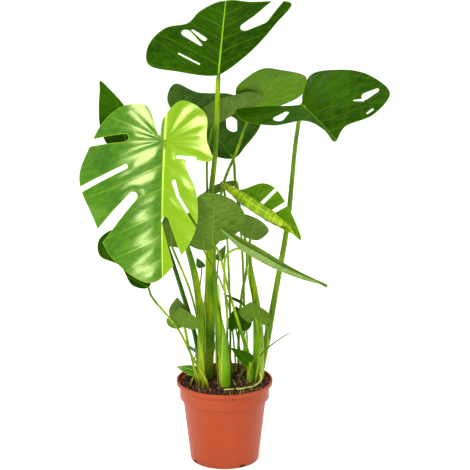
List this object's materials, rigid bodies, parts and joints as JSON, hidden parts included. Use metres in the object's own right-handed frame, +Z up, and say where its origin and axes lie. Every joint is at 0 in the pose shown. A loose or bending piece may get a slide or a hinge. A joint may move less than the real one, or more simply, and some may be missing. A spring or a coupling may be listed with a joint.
{
  "type": "potted monstera plant",
  "caption": "Swiss cheese plant with split and holed heart-shaped leaves on tall stalks, growing in compost in a round tapered plastic nursery pot.",
  "frame": {"origin": "centre of the pot's flat foot, on the surface it stands on", "axes": "+Z up along the pot's axis, -Y towards the front with the big glossy leaf, +X to the right seen from the front"},
  "size_m": [0.5231, 0.377, 0.8496],
  "materials": {
    "pot_plastic": "satin moulded plastic",
    "compost": "rough, crumbly",
    "deep_leaf": "semi-gloss, leathery",
    "bright_leaf": "glossy, leathery",
    "grey_leaf": "matt underside, leathery",
    "light_stalk": "smooth, satin",
    "deep_stalk": "smooth, satin",
    "root_skin": "rough"
  },
  "bodies": {
    "root": {"pot": "pot_plastic", "compost": "compost", "root_aerial": "root_skin", "root_straw": "root_skin", "tendril": "deep_stalk", "dry_stalk": "deep_stalk", "leaf_top": "deep_leaf", "leaf_upper_left": "deep_leaf", "leaf_lower_left": "deep_leaf", "leaf_holed": "deep_leaf", "leaf_right": "deep_leaf", "leaf_small_dark": "deep_leaf", "leaf_small_green": "deep_leaf", "leaf_small_sliver": "deep_leaf", "leaf_bud_high": "deep_leaf", "leaf_bud_low": "deep_leaf", "leaf_big_left": "bright_leaf", "leaf_pale": "bright_leaf", "leaf_unfurling": "bright_leaf", "leaf_rim": "bright_leaf", "leaf_side": "grey_leaf", "leaf_middle": "grey_leaf", "leaf_low": "grey_leaf", "leaf_low_left": "grey_leaf", "leaf_inner": "grey_leaf", "leaf_edge_on": "grey_leaf", "leaf_strap": "grey_leaf", "leaf_small_front": "grey_leaf", "leaf_small_back": "grey_leaf", "leaf_small_right": "grey_leaf", "leaf_small_grey": "grey_leaf", "leaf_small_left": "grey_leaf", "stalk_upper_left": "deep_stalk", "stalk_small_dark": "deep_stalk", "stalk_small_sliver": "deep_stalk", "stalk_top": "light_stalk", "stalk_lower_left": "light_stalk", "stalk_holed": "light_stalk", "stalk_right": "light_stalk", "stalk_small_green": "light_stalk", "stalk_bud_high": "light_stalk", "stalk_bud_low": "light_stalk", "stalk_big_left": "light_stalk", "stalk_pale": "light_stalk", "stalk_unfurling": "light_stalk", "stalk_rim": "light_stalk", "stalk_side": "light_stalk", "stalk_middle": "light_stalk", "stalk_low": "light_stalk", "stalk_low_left": "light_stalk", "stalk_inner": "light_stalk", "stalk_edge_on": "light_stalk", "stalk_strap": "light_stalk", "stalk_small_front": "light_stalk", "stalk_small_back": "light_stalk", "stalk_small_right": "light_stalk", "stalk_small_grey": "light_stalk", "stalk_small_left": "light_stalk"}
  },
  "joints": []
}
